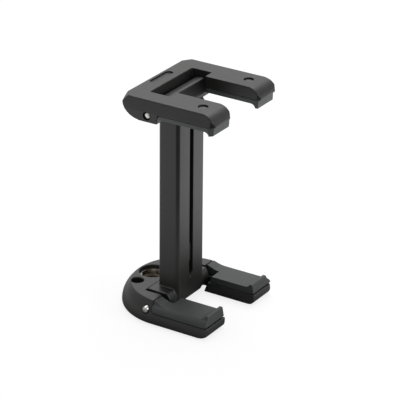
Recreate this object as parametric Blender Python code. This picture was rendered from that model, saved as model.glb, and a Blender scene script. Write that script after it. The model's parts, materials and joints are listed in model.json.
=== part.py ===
"""Folding spring clamp that holds a phone on a tripod.

A lower jaw stands on the floor and takes the tripod's screw. A telescoping column is pinned to it, and an
upper jaw is pinned to the head of the column's inner slide. Two extension springs inside the column pull
the jaws together. Both jaws fold flat against the column.

X runs across the clamp, -Y is the front, where the phone stands, and +Z is up. Metres throughout.
"""

import math

import bmesh
import bpy
from mathutils import Matrix, Vector

# Clamp as a whole
TRAVEL = 0.0350
JAW_REACH = 0.0210

# Clearances
SEAT_GAP = 0.0002
SLIDE_GAP = 0.0002
TURN_GAP = 0.0003
BAR_END_GAP = 0.0006
PIN_GAP = 0.00015

# Hinge pins, the same at both ends
PIN_RADIUS = 0.0010
PIN_END_INSET = 0.0003
COUNTERBORE_RADIUS = 0.00135
COUNTERBORE_DEPTH = 0.0009
WASHER_RADIUS = 0.0023
WASHER_THICKNESS = 0.0003

# Column: a square sleeve with a cross bar at its foot
COLUMN_WIDTH = 0.0134
COLUMN_FRONT = 0.00395
COLUMN_BACK = 0.0027
COLUMN_EDGE = 0.0007
SLEEVE_WALL = 0.0011
SLEEVE_FLOOR = 0.0034
SLOT_WIDTH = 0.0015
SLOT_LOW = 0.0052
FOOT_BAR_LENGTH = 0.0206
FOOT_BAR_RADIUS = 0.0036
FOOT_BAR_TOP = 0.0026

# Slide: a square tube under a neck and a cross bar
TUBE_WALL = 0.0008
TUBE_OVERLAP = 0.0110
TUBE_REST_GAP = 0.0007
NECK_DROP = 0.0034
HEAD_BAR_LENGTH = 0.0198
HEAD_RADIUS = 0.0025
HEAD_FRONT = 0.0031
HEAD_LEDGE = 0.0011
HEAD_FLAT_FRONT = 0.0016
HEAD_SHOULDER = 0.0018
HEAD_DRAFT = 0.0002
NECK_BACK_TOP = 0.0020
KEY_LENGTH = 0.0055
KEY_LIFT = 0.0010
KEY_PEG_RADIUS = 0.00045

# Springs and what holds them
SPRING_SPACING = 0.0052
SPRING_MEAN_RADIUS = 0.0009
SPRING_WIRE_RADIUS = 0.0002
SPRING_TURNS = 36
SPRING_PITCH = 0.00068
HOOK_RADIUS = 0.0008
HANGER_RADIUS = 0.00045
HANGER_DROP = 0.0032
ANCHOR_THICKNESS = 0.0008
ANCHOR_HEIGHT = 0.0038
ANCHOR_HOLE_RADIUS = 0.00055
ANCHOR_HOLE_EDGE = 0.0010
ANCHOR_PIN_RADIUS = 0.00045
ANCHOR_PIN_HEIGHT = 0.0043

# Upper jaw
UPPER_HALF_WIDTH = 0.0165
UPPER_TOP_HALF_WIDTH = 0.0159
UPPER_TOP = 0.0045
UPPER_ARM_BOTTOM = 0.0008
UPPER_EAR_BOTTOM = 0.0018
UPPER_EAR_FRONT = 0.0036
UPPER_EAR_SLOPE = 0.0012
UPPER_EAR_BACK = 0.0015
UPPER_ARM_CLEARANCE = 0.0004
UPPER_POCKET_FRONT = 0.0036
UPPER_POCKET_BACK = 0.00275
UPPER_BACK = 0.0082
UPPER_BACK_TOP = 0.0081
UPPER_BACK_WIDEST = 0.0032
BACK_STEPS = 6
NOSE_LENGTH = 0.0040
NOSE_STEPS = 8
FRONT_CHAMFER = 0.0010
REAR_CUT_SIDE = 0.0025
REAR_CUT_BACK = 0.0023
REAR_CUT_DROP = 0.0016
DIMPLE_RADIUS = 0.00145
DIMPLE_DEPTH = 0.0006
DIMPLE_REACH = 0.0148
DIMPLE_SIDE = 0.0116
PLUG_RADIUS = 0.0011
BADGE_LENGTH = 0.0098
BADGE_WIDTH = 0.0024
BADGE_DEPTH = 0.0004
BADGE_EDGE = 0.0009

# Lower jaw
LOWER_PIN_HEIGHT = 0.0040
LOWER_HALF_WIDTH = 0.0177
PLATE_HEIGHT = 0.0065
RIM_INSET = 0.0026
RIM_ARC = math.radians(75)
SOLE_STEPS = 3
WALL_STEPS = 7
WIDEST_HEIGHT = 0.0010
SOLE_INSET = 0.0009
SOLE_FRONT_INSET = 0.0020
FRONT_DRAFT = 0.0004
GAP_CHAMFER = 0.0006
FOOT_HEIGHT = 0.00335
FOOT_REACH = 0.0203
FOOT_CLEARANCE = 0.0009
FOOT_CORNER = 0.0013
LOWER_POCKET_FRONT = 0.0057
LOWER_POCKET_SOLE = 0.00385
LOWER_POCKET_BACK = 0.0040
KEY_RING_RADIUS = 0.0018
KEY_RING_EDGE = 0.0044
KEY_RING_WEB = 0.0014

# Tripod insert, for a 1/4-20 screw
INSERT_WALL = 0.0007
INSERT_REAR = 0.00705
INSERT_MINOR_RADIUS = 0.0026
INSERT_BODY_RADIUS = 0.0035
INSERT_FLANGE_RADIUS = 0.0038
INSERT_FLANGE = 0.0008
INSERT_LEAD_IN = 0.0005
RECESS_RADIUS = 0.0040
RECESS_DEPTH = 0.0010

# Rubber pads
LOWER_PAD_HEIGHT = 0.0054
UPPER_PAD_DROP = 0.0004
PAD_BACK = 0.0016
PAD_BACK_CORNER = 0.0015
PAD_FLAT_START = 0.0056
LIP_HOLLOW = 0.0017
LIP_HEIGHT = 0.0010
LIP_TOP = 0.0006
LIP_STEPS = 4
LOWER_PAD_SETBACK = 0.0002
LOWER_LIP_BACKSET = 0.0007
UPPER_PAD_SETBACK = 0.0005
UPPER_LIP_BACKSET = 0.0002
UPPER_PAD_CORNER = 0.0011
PAD_SIDE_INSET = 0.0002
PAD_SHOULDER = 0.0025
PAD_SHOULDER_LEAN = 0.0008
PAD_BACK_CHAMFER = 0.0003
RAMP_FOOT_LENGTH = 0.0012
RAMP_FOOT_RISE = 0.0002

# Worked out from the sizes above
INSERT_BACK = LOWER_POCKET_BACK + INSERT_WALL + RECESS_RADIUS
LOWER_BACK = INSERT_BACK + INSERT_REAR
ARCH_CENTRE = LOWER_BACK - LOWER_HALF_WIDTH
HINGE_Y = (JAW_REACH - LOWER_BACK) / 2
COLUMN_HALF = COLUMN_WIDTH / 2
ANCHOR_LOW = SLEEVE_FLOOR + SEAT_GAP
TUBE_BOTTOM = ANCHOR_LOW + ANCHOR_HEIGHT + TUBE_REST_GAP
SLEEVE_TOP = TUBE_BOTTOM + TUBE_OVERLAP + TRAVEL
PIN_SPACING = SLEEVE_TOP + TURN_GAP + NECK_DROP
LOWER_POCKET_HALF = FOOT_BAR_LENGTH / 2 + BAR_END_GAP
UPPER_POCKET_HALF = HEAD_BAR_LENGTH / 2 + BAR_END_GAP
FOOT_GAP = COLUMN_WIDTH + 2 * FOOT_CLEARANCE
UPPER_ARM_GAP = COLUMN_WIDTH + 2 * UPPER_ARM_CLEARANCE
KEY_RING_SIDE = RECESS_RADIUS + KEY_RING_WEB + KEY_RING_RADIUS
KEY_RING_BACK = ARCH_CENTRE + math.sqrt((LOWER_HALF_WIDTH - KEY_RING_EDGE) ** 2 - KEY_RING_SIDE**2)
TUBE_HALF = COLUMN_HALF - SLEEVE_WALL - SLIDE_GAP
TUBE_FRONT = COLUMN_FRONT - SLEEVE_WALL - SLIDE_GAP
TUBE_BACK = COLUMN_BACK - SLEEVE_WALL - SLIDE_GAP
TUBE_MIDDLE = (TUBE_BACK - TUBE_FRONT) / 2
KEY_BOTTOM = TUBE_BOTTOM + KEY_LIFT
SLOT_HIGH = KEY_BOTTOM + KEY_LENGTH + TRAVEL + SEAT_GAP
PIN_HOLE_RADIUS = PIN_RADIUS + PIN_GAP

AXES = {"X": Vector((1, 0, 0)), "Y": Vector((0, 1, 0)), "Z": Vector((0, 0, 1))}


def clear_scene():
    for obj in list(bpy.data.objects):
        bpy.data.objects.remove(obj, do_unlink=True)


def new_collection(name, hidden=False):
    made = bpy.data.collections.new(name)
    made.hide_render = hidden
    bpy.context.scene.collection.children.link(made)
    return made


def new_material(name, grey, roughness, metallic=0.0, tint=(1.0, 1.0, 1.0)):
    made = bpy.data.materials.new(name)
    made.use_nodes = True
    shader = made.node_tree.nodes["Principled BSDF"]
    shader.inputs["Base Color"].default_value = (*(grey * share for share in tint), 1.0)
    shader.inputs["Roughness"].default_value = roughness
    shader.inputs["Metallic"].default_value = metallic
    made.diffuse_color = shader.inputs["Base Color"].default_value
    return made


def new_hinge(name, height, parent=None):
    """An empty on a hinge pin's axis, or on the slide's line."""
    made = bpy.data.objects.new(name, None)
    made.empty_display_size = JAW_REACH
    made.location = (0, 0 if parent else HINGE_Y, height)
    made.parent = parent
    parts.objects.link(made)
    return made


def new_object(name, mesh, parent, material=None):
    """A part if it has a material, or else a cutter. The mesh is measured from its parent's hinge."""
    data = bpy.data.meshes.new(name)
    mesh.to_mesh(data)
    mesh.free()
    made = bpy.data.objects.new(name, data)
    made.parent = parent
    if material:
        data.materials.append(material)
        data.shade_smooth()
        data.set_sharp_from_angle(angle=math.radians(30))
        parts.objects.link(made)
    else:
        made.hide_render = True
        made.display_type = "WIRE"
        cutters.objects.link(made)
    return made


def combine(target, operation, *others):
    """Adds one Boolean to the target for each of the other objects."""
    for other in others:
        step = target.modifiers.new(f"{operation.lower()}_{other.name}", "BOOLEAN")
        step.operation = operation
        step.object = other
        step.solver = "EXACT"


def arc(centre, radius, start, end, steps):
    """Points of an arc in a plane, from one angle in degrees to another."""
    turns = [math.radians(start + (end - start) * step / steps) for step in range(steps + 1)]
    return [(centre[0] + radius * math.cos(turn), centre[1] + radius * math.sin(turn)) for turn in turns]


def box_outline(low_a, high_a, low_b, high_b):
    return [(low_a, low_b), (high_a, low_b), (high_a, high_b), (low_a, high_b)]


def diamond(corner, cut):
    """A square on its point round a corner, which cuts a 45 degree chamfer off it."""
    return [
        (corner[0] - cut, corner[1]),
        (corner[0], corner[1] - cut),
        (corner[0] + cut, corner[1]),
        (corner[0], corner[1] + cut),
    ]


def prism(outline, axis, start, end):
    """A closed outline in the other two axes, pushed along this one."""
    at = {
        "X": lambda a, b: (start, a, b),
        "Y": lambda a, b: (a, start, b),
        "Z": lambda a, b: (a, b, start),
    }[axis]
    mesh = bmesh.new()
    cap = mesh.faces.new([mesh.verts.new(at(a, b)) for a, b in outline])
    pushed = bmesh.ops.extrude_face_region(mesh, geom=[cap])["geom"]
    far = [item for item in pushed if isinstance(item, bmesh.types.BMVert)]
    bmesh.ops.translate(mesh, verts=far, vec=AXES[axis] * (end - start))
    bmesh.ops.recalc_face_normals(mesh, faces=mesh.faces[:])
    return mesh


def rod(radius, axis, start, end, centre=(0.0, 0.0), segments=24):
    """A cylinder along an axis; centre gives its place in the other two."""
    mesh = bmesh.new()
    turn = {
        "X": Matrix.Rotation(math.pi / 2, 4, "Y"),
        "Y": Matrix.Rotation(-math.pi / 2, 4, "X"),
        "Z": Matrix.Identity(4),
    }[axis]
    others = [other for name, other in AXES.items() if name != axis]
    middle = AXES[axis] * (start + end) / 2 + others[0] * centre[0] + others[1] * centre[1]
    bmesh.ops.create_cone(
        mesh,
        cap_ends=True,
        segments=segments,
        radius1=radius,
        radius2=radius,
        depth=abs(end - start),
        matrix=Matrix.Translation(middle) @ turn,
    )
    return mesh


def turned(profile, segments=32, centre=(0.0, 0.0)):
    """A closed profile of (radius, height) points, spun about a vertical axis."""
    mesh = bmesh.new()
    ring = [mesh.verts.new((centre[0] + radius, centre[1], height)) for radius, height in profile]
    edges = [mesh.edges.new((ring[index - 1], ring[index])) for index in range(len(ring))]
    bmesh.ops.spin(
        mesh,
        geom=ring + edges,
        cent=(centre[0], centre[1], 0),
        axis=(0, 0, 1),
        angle=2 * math.pi,
        steps=segments,
        use_merge=True,
    )
    bmesh.ops.recalc_face_normals(mesh, faces=mesh.faces[:])
    return mesh


def slot_outline(width, low, high, steps=6):
    """A slot with round ends, as (across, height) points."""
    radius = width / 2
    return arc((0, low + radius), radius, 180, 360, steps) + arc((0, high - radius), radius, 0, 180, steps)


def wire(points, radius, name, parent, material):
    """A round wire through the points, made a mesh with closed ends."""
    curve = bpy.data.curves.new(name, "CURVE")
    curve.dimensions = "3D"
    curve.bevel_depth = radius
    curve.bevel_resolution = 0
    curve.use_fill_caps = True
    spline = curve.splines.new("POLY")
    spline.points.add(len(points) - 1)
    for spot, point in zip(spline.points, points):
        spot.co = (*point, 1.0)
    source = bpy.data.objects.new(name + "_path", curve)
    cutters.objects.link(source)
    bpy.context.view_layer.update()
    data = bpy.data.meshes.new_from_object(source.evaluated_get(bpy.context.evaluated_depsgraph_get()))
    bpy.data.objects.remove(source)
    mesh = bmesh.new()
    mesh.from_mesh(data)
    bmesh.ops.remove_doubles(mesh, verts=mesh.verts[:], dist=radius / 20)
    bmesh.ops.recalc_face_normals(mesh, faces=mesh.faces[:])
    return new_object(name, mesh, parent, material)


def jaw_outline(inset, front_inset):
    """Plan of the lower jaw, shrunk all round: square feet in front, a half circle behind."""
    half = LOWER_HALF_WIDTH - inset
    front = -FOOT_REACH + front_inset
    corner = FOOT_CORNER
    right = arc((half - corner, front + corner), corner, 270, 360, 3)
    back = arc((0, ARCH_CENTRE), half, 0, 180, 32)
    left = arc((-half + corner, front + corner), corner, 180, 270, 3)
    return right + back + left


def jaw_levels():
    """(height, inset, front inset) up the lower jaw's wall: a rounded sole, then a wall that leans in."""
    levels = []
    for step in range(SOLE_STEPS + 1):
        turn = math.radians(90) * step / SOLE_STEPS
        short = 1 - math.sin(turn)
        front = FRONT_DRAFT + (SOLE_FRONT_INSET - FRONT_DRAFT) * short
        levels.append((WIDEST_HEIGHT * (1 - math.cos(turn)), SOLE_INSET * short, front))
    for step in range(1, WALL_STEPS + 1):
        turn = RIM_ARC * step / WALL_STEPS
        rise = math.sin(turn) / math.sin(RIM_ARC)
        lean = (1 - math.cos(turn)) / (1 - math.cos(RIM_ARC))
        height = WIDEST_HEIGHT + (PLATE_HEIGHT - WIDEST_HEIGHT) * rise
        levels.append((height, RIM_INSET * lean, FRONT_DRAFT * (1 - rise)))
    return levels


def jaw_blank():
    """The lower jaw's outer form: one outline carried up through the levels."""
    mesh = bmesh.new()
    levels = jaw_levels()
    floor, inset, front_inset = levels[0]
    drop = Vector((0, 0, -LOWER_PIN_HEIGHT))
    sole = [Vector((x, y, floor)) + drop for x, y in jaw_outline(inset, front_inset)]
    top = mesh.faces.new([mesh.verts.new(corner) for corner in sole])
    for height, inset, front_inset in levels[1:]:
        pushed = bmesh.ops.extrude_face_region(mesh, geom=[top])["geom"]
        if height > levels[1][0]:
            bmesh.ops.delete(mesh, geom=[top], context="FACES_ONLY")
        top = next(item for item in pushed if isinstance(item, bmesh.types.BMFace))
        for vert, (x, y) in zip(top.verts, jaw_outline(inset, front_inset)):
            vert.co = Vector((x, y, height)) + drop
    bmesh.ops.recalc_face_normals(mesh, faces=mesh.faces[:])
    return mesh


def foot_pocket(start, end):
    """The space for the column's foot. Its front wall leans back from the pads' beds down to the sole."""
    lean = (LOWER_POCKET_FRONT - LOWER_POCKET_SOLE) / LOWER_PAD_HEIGHT
    low = -PLATE_HEIGHT
    high = PLATE_HEIGHT * 2
    side = [
        (-LOWER_POCKET_SOLE - lean * low, low - LOWER_PIN_HEIGHT),
        (-LOWER_POCKET_SOLE - lean * high, high - LOWER_PIN_HEIGHT),
        (LOWER_POCKET_BACK, high - LOWER_PIN_HEIGHT),
        (LOWER_POCKET_BACK, low - LOWER_PIN_HEIGHT),
    ]
    return prism(side, "X", start, end)


def make_lower_jaw():
    """Moulded base: two feet, a round arch behind them, and a pocket for the column's foot."""
    wide = LOWER_HALF_WIDTH * 2
    high = PLATE_HEIGHT * 2
    jaw = new_object("lower_jaw", jaw_blank(), base, black_plastic)
    inner = FOOT_GAP / 2
    sole = -LOWER_PIN_HEIGHT
    gap = [(inner, high), (inner, sole + GAP_CHAMFER), (inner + 2 * GAP_CHAMFER, sole - GAP_CHAMFER)]
    gap += [(-x, z) for x, z in reversed(gap)]
    seat_top = FOOT_HEIGHT - LOWER_PIN_HEIGHT
    seat = [(-wide, high), (-wide, seat_top), (-PAD_BACK - PAD_BACK_CORNER, seat_top)]
    seat += arc((-PAD_BACK - PAD_BACK_CORNER, seat_top + PAD_BACK_CORNER), PAD_BACK_CORNER, 270, 360, 4)[1:]
    seat += [(-PAD_BACK, high)]
    wall = LOWER_HALF_WIDTH - COUNTERBORE_DEPTH
    recess_floor = PLATE_HEIGHT - LOWER_PIN_HEIGHT - RECESS_DEPTH
    flange_floor = recess_floor - INSERT_FLANGE - SEAT_GAP
    combine(
        jaw,
        "DIFFERENCE",
        new_object("cut_foot_pocket", foot_pocket(-LOWER_POCKET_HALF, LOWER_POCKET_HALF), base),
        new_object("cut_foot_gap", prism(gap, "Y", -wide, -LOWER_POCKET_SOLE + TURN_GAP), base),
        new_object("cut_pad_seat", prism(seat, "X", -wide, wide), base),
        new_object("cut_lower_pin_hole", rod(PIN_HOLE_RADIUS, "X", -wide, wide), base),
        new_object("cut_lower_pin_head_left", rod(COUNTERBORE_RADIUS, "X", -wide, -wall), base),
        new_object("cut_lower_pin_head_right", rod(COUNTERBORE_RADIUS, "X", wall, wide), base),
        new_object(
            "cut_insert_bore",
            rod(INSERT_BODY_RADIUS + SEAT_GAP, "Z", -high, high, (0, INSERT_BACK), 32),
            base,
        ),
        new_object(
            "cut_insert_recess",
            rod(RECESS_RADIUS, "Z", flange_floor, high, (0, INSERT_BACK), 32),
            base,
        ),
        new_object(
            "cut_key_ring_hole",
            rod(KEY_RING_RADIUS, "Z", -high, high, (-KEY_RING_SIDE, KEY_RING_BACK)),
            base,
        ),
    )
    return jaw


def make_tripod_insert():
    """Turned metal insert, flanged at the top, that takes the tripod's 1/4-20 screw from below."""
    top = PLATE_HEIGHT - LOWER_PIN_HEIGHT - RECESS_DEPTH
    bottom = -LOWER_PIN_HEIGHT + SEAT_GAP
    profile = [
        (INSERT_MINOR_RADIUS + INSERT_LEAD_IN, bottom),
        (INSERT_BODY_RADIUS, bottom),
        (INSERT_BODY_RADIUS, top - INSERT_FLANGE),
        (INSERT_FLANGE_RADIUS, top - INSERT_FLANGE),
        (INSERT_FLANGE_RADIUS, top),
        (INSERT_MINOR_RADIUS + INSERT_LEAD_IN, top),
        (INSERT_MINOR_RADIUS, top - INSERT_LEAD_IN),
        (INSERT_MINOR_RADIUS, bottom + INSERT_LEAD_IN),
    ]
    return new_object("tripod_insert", turned(profile, 32, (0, INSERT_BACK)), base, bright_steel)


def make_lower_pad(side):
    """Rubber pad on a foot: a ramp at the back, a flat bed, and a lip that keeps the phone in."""
    name = "lower_pad_left" if side < 0 else "lower_pad_right"
    low = FOOT_HEIGHT - LOWER_PIN_HEIGHT + SEAT_GAP
    bed = LOWER_PAD_HEIGHT - LOWER_PIN_HEIGHT
    plate = PLATE_HEIGHT - LOWER_PIN_HEIGHT
    back = -PAD_BACK - SEAT_GAP
    corner = PAD_BACK_CORNER
    front = -FOOT_REACH + LOWER_PAD_SETBACK
    profile = [(front, low)]
    profile += arc((back - corner, low + corner), corner, 270, 360, 4)
    profile += [(back, plate - PAD_BACK_CHAMFER), (back - PAD_BACK_CHAMFER, plate)]
    profile += [(-PAD_FLAT_START + RAMP_FOOT_LENGTH, bed + RAMP_FOOT_RISE), (-PAD_FLAT_START, bed)]
    profile += lip_profile(front + LOWER_LIP_BACKSET, bed, 1)
    section = [
        (FOOT_GAP / 2 + PAD_SIDE_INSET, low),
        (LOWER_HALF_WIDTH - PAD_SIDE_INSET - SEAT_GAP, low),
        (LOWER_HALF_WIDTH - PAD_SHOULDER_LEAN, (low + bed) / 2),
        (LOWER_HALF_WIDTH - PAD_SHOULDER, bed),
        (LOWER_HALF_WIDTH - PAD_SHOULDER, plate + LIP_HEIGHT),
        (FOOT_GAP / 2 + PAD_SIDE_INSET, plate + LIP_HEIGHT),
    ]
    section = [(side * x, z) for x, z in section]
    reach = 2 * JAW_REACH
    pad = new_object(name, prism(profile, "X", 0, side * LOWER_HALF_WIDTH), base, rubber)
    combine(pad, "INTERSECT", new_object("shape_" + name, prism(section, "Y", -reach, reach), base))
    combine(pad, "DIFFERENCE", new_object("cut_" + name, foot_pocket(0, side * LOWER_POCKET_HALF), base))
    return pad


def lip_profile(tip, bed, up):
    """(y, z) points from the pad's bed round the hollow behind the lip to the front edge of the lip's tip."""
    start = tip + LIP_TOP + LIP_HOLLOW
    curve = [
        (start - LIP_HOLLOW * math.sin(turn), bed + up * LIP_HEIGHT * (1 - math.cos(turn)))
        for turn in (math.radians(90) * step / LIP_STEPS for step in range(LIP_STEPS + 1))
    ]
    return curve + [(tip, bed + up * LIP_HEIGHT)]


def make_sleeve():
    """The column's outer tube, with the slot for the stop key in front and the hinge bar at its foot."""
    foot = [(-COLUMN_FRONT, SLEEVE_TOP)]
    foot += arc((0, 0), COLUMN_FRONT, 180, 360 - math.degrees(math.acos(COLUMN_BACK / COLUMN_FRONT)), 12)
    foot += [(COLUMN_BACK, SLEEVE_TOP)]
    sleeve = new_object("sleeve", prism(foot, "X", -COLUMN_HALF, COLUMN_HALF), folding, black_plastic)
    for side in (-1, 1):
        for face, y in (("front", -COLUMN_FRONT), ("back", COLUMN_BACK)):
            edge = prism(diamond((side * COLUMN_HALF, y), COLUMN_EDGE), "Z", -SLEEVE_TOP, 2 * SLEEVE_TOP)
            combine(sleeve, "DIFFERENCE", new_object(f"cut_column_edge_{face}_{side}", edge, folding))
    start = math.degrees(math.asin(FOOT_BAR_TOP / FOOT_BAR_RADIUS))
    bar = [(FOOT_BAR_RADIUS, FOOT_BAR_TOP)] + arc((0, 0), FOOT_BAR_RADIUS, 0, -180 - start, 16)
    half_bar = FOOT_BAR_LENGTH / 2
    cavity = box_outline(
        -COLUMN_HALF + SLEEVE_WALL,
        COLUMN_HALF - SLEEVE_WALL,
        -COLUMN_FRONT + SLEEVE_WALL,
        COLUMN_BACK - SLEEVE_WALL,
    )
    slot = slot_outline(SLOT_WIDTH, SLOT_LOW, SLOT_HIGH)
    combine(sleeve, "UNION", new_object("add_foot_bar", prism(bar, "X", -half_bar, half_bar), folding))
    combine(
        sleeve,
        "DIFFERENCE",
        new_object("cut_cavity", prism(cavity, "Z", SLEEVE_FLOOR, SLEEVE_TOP * 2), folding),
        new_object("cut_slot", prism(slot, "Y", -COLUMN_FRONT * 2, TUBE_MIDDLE), folding),
        new_object("cut_foot_bar_hole", rod(PIN_HOLE_RADIUS, "X", -JAW_REACH, JAW_REACH), folding),
        new_object(
            "cut_anchor_pin_hole",
            rod(
                ANCHOR_PIN_RADIUS + PIN_GAP / 2,
                "Y",
                -COLUMN_FRONT * 2,
                COLUMN_BACK - SLEEVE_WALL / 2,
                (0, ANCHOR_PIN_HEIGHT),
                12,
            ),
            folding,
        ),
    )
    return sleeve


def make_spring_anchor():
    """Steel plate in the foot of the sleeve, with an eye for each spring's lower hook."""
    low = ANCHOR_LOW
    half = COLUMN_HALF - SLEEVE_WALL - SEAT_GAP
    plate = box_outline(-half, half, low, low + ANCHOR_HEIGHT)
    near = TUBE_MIDDLE - ANCHOR_THICKNESS / 2
    far = TUBE_MIDDLE + ANCHOR_THICKNESS / 2
    anchor = new_object("spring_anchor", prism(plate, "Y", near, far), folding, bright_steel)
    eye = low + ANCHOR_HEIGHT - ANCHOR_HOLE_EDGE
    for side in (-1, 1):
        place = (side * SPRING_SPACING / 2, eye)
        hole = rod(ANCHOR_HOLE_RADIUS, "Y", -COLUMN_FRONT, COLUMN_FRONT, place, 16)
        combine(anchor, "DIFFERENCE", new_object(f"cut_anchor_eye_{side}", hole, folding))
    hole = rod(ANCHOR_PIN_RADIUS + PIN_GAP / 2, "Y", -COLUMN_FRONT, COLUMN_FRONT, (0, ANCHOR_PIN_HEIGHT), 12)
    combine(anchor, "DIFFERENCE", new_object("cut_anchor_pin_in_plate", hole, folding))
    return anchor


def make_anchor_pin():
    """Steel pin driven in from the front, just under the slot, which holds the anchor plate."""
    back = COLUMN_BACK - SLEEVE_WALL / 2 - SEAT_GAP
    pin = rod(ANCHOR_PIN_RADIUS, "Y", -COLUMN_FRONT + SEAT_GAP, back, (0, ANCHOR_PIN_HEIGHT), 12)
    return new_object("anchor_pin", pin, folding, bright_steel)


def make_slide():
    """The inner tube, with the neck and cross bar that carry the upper jaw."""
    top = -NECK_DROP
    bottom = TUBE_BOTTOM - PIN_SPACING
    tube = box_outline(-TUBE_HALF, TUBE_HALF, -TUBE_FRONT, TUBE_BACK)
    hollow = box_outline(
        -TUBE_HALF + TUBE_WALL, TUBE_HALF - TUBE_WALL, -TUBE_FRONT + TUBE_WALL, TUBE_BACK - TUBE_WALL
    )
    ledge_back = -HEAD_FRONT + HEAD_DRAFT
    neck = [
        (ledge_back, 0),
        (ledge_back, -HEAD_LEDGE),
        (-COLUMN_FRONT, -HEAD_LEDGE - COLUMN_FRONT - ledge_back),
        (-COLUMN_FRONT, top),
        (COLUMN_BACK, top),
        (COLUMN_BACK, -NECK_BACK_TOP),
        (0, 0),
    ]
    bar = arc((0, 0), HEAD_RADIUS, -90, 90, 10)
    bar += [
        (-HEAD_FLAT_FRONT, HEAD_RADIUS),
        (ledge_back, HEAD_SHOULDER),
        (-HEAD_FRONT, -HEAD_LEDGE),
    ]
    half_bar = HEAD_BAR_LENGTH / 2
    hanger = rod(
        HANGER_RADIUS + PIN_GAP / 2, "X", -COLUMN_WIDTH, COLUMN_WIDTH, (TUBE_MIDDLE, top - HANGER_DROP), 12
    )
    key_middle = KEY_BOTTOM + KEY_LENGTH / 2 - PIN_SPACING
    peg = rod(KEY_PEG_RADIUS + PIN_GAP / 2, "Y", -COLUMN_FRONT, TUBE_MIDDLE, (0, key_middle), 12)
    slide = new_object("slide", prism(bar, "X", -half_bar, half_bar), sliding, black_plastic)
    combine(
        slide,
        "UNION",
        new_object("add_neck", prism(neck, "X", -COLUMN_HALF, COLUMN_HALF), sliding),
        new_object("add_tube", prism(tube, "Z", bottom, top + SEAT_GAP), sliding),
    )
    combine(
        slide,
        "DIFFERENCE",
        new_object("cut_tube", prism(hollow, "Z", bottom * 2, top - TUBE_WALL), sliding),
        new_object("cut_head_pin_hole", rod(PIN_HOLE_RADIUS, "X", -JAW_REACH, JAW_REACH), sliding),
        new_object("cut_hanger_hole", hanger, sliding),
        new_object("cut_key_peg_hole", peg, sliding),
    )
    return slide


def make_stop_key():
    """Key pegged to the slide that rides in the sleeve's slot and stops the slide at both ends."""
    width = SLOT_WIDTH - 2 * SLIDE_GAP
    low = KEY_BOTTOM - PIN_SPACING
    outline = slot_outline(width, low, low + KEY_LENGTH)
    face = -COLUMN_FRONT + SLEEVE_WALL / 2
    root = -TUBE_FRONT - SLIDE_GAP / 2
    key = new_object("stop_key", prism(outline, "Y", face, root), sliding, black_plastic)
    peg = rod(KEY_PEG_RADIUS, "Y", face / 2 + root / 2, root + TUBE_WALL, (0, low + KEY_LENGTH / 2), 12)
    combine(key, "UNION", new_object("add_key_peg", peg, sliding))
    return key


def make_spring_hanger():
    """Steel pin across the top of the tube, for the springs' upper hooks."""
    half = TUBE_HALF - SEAT_GAP
    place = (TUBE_MIDDLE, -NECK_DROP - HANGER_DROP)
    return new_object("spring_hanger", rod(HANGER_RADIUS, "X", -half, half, place, 12), sliding, bright_steel)


def make_spring(side):
    """Extension spring: an open hook through the anchor's eye, the coil, and a hook over the hanger."""
    name = "spring_left" if side < 0 else "spring_right"
    x = side * SPRING_SPACING / 2
    y = TUBE_MIDDLE
    rear = y + SPRING_MEAN_RADIUS
    eye = ANCHOR_LOW + ANCHOR_HEIGHT - ANCHOR_HOLE_EDGE
    hanger = PIN_SPACING - NECK_DROP - HANGER_DROP
    upper = hanger + HANGER_RADIUS + SPRING_WIRE_RADIUS + PIN_GAP - HOOK_RADIUS
    lower = eye + HOOK_RADIUS
    middle = (lower + upper) / 2
    start = middle - SPRING_TURNS * SPRING_PITCH / 2
    end = middle + SPRING_TURNS * SPRING_PITCH / 2
    points = [(x, a, b) for a, b in arc((y, lower), HOOK_RADIUS, 150, 360, 10)]
    points += [(x, rear, lower + HOOK_RADIUS), (x, rear, start - HOOK_RADIUS)]
    steps = SPRING_TURNS * 8
    for step in range(steps + 1):
        turn = 2 * math.pi * step / 8
        across = x + SPRING_MEAN_RADIUS * math.sin(turn)
        depth = y + SPRING_MEAN_RADIUS * math.cos(turn)
        points.append((across, depth, start + (end - start) * step / steps))
    points += [(x, rear, end + HOOK_RADIUS), (x, rear, upper - HOOK_RADIUS)]
    points += [(x, a, b) for a, b in arc((y, upper), HOOK_RADIUS, 0, 210, 10)]
    return wire(points, SPRING_WIRE_RADIUS, name, folding, bright_steel)


def make_hinge_pin(name, half_width, parent):
    """Steel pin with domed ends, shorter than the jaw so that its ends sit in their counterbores."""
    half = half_width - PIN_END_INSET
    mesh = rod(PIN_RADIUS, "X", -half, half, segments=24)
    rims = [edge for edge in mesh.edges if abs(edge.verts[0].co.x - edge.verts[1].co.x) < 1e-9]
    bmesh.ops.bevel(mesh, geom=rims, offset=PIN_RADIUS / 3, segments=2, profile=0.5, affect="EDGES")
    return new_object(name, mesh, parent, bright_steel)


def make_washer(name, side, pocket_half, bar_half, parent):
    """Friction washer between the end of a hinge bar and the wall of its pocket."""
    middle = side * (pocket_half + bar_half) / 2
    start = middle - WASHER_THICKNESS / 2
    end = middle + WASHER_THICKNESS / 2
    washer = new_object(name, rod(WASHER_RADIUS, "X", start, end), parent, bright_steel)
    hole = rod(PIN_HOLE_RADIUS, "X", start - WASHER_THICKNESS, end + WASHER_THICKNESS)
    combine(washer, "DIFFERENCE", new_object("cut_" + name, hole, parent))
    return washer


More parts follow.
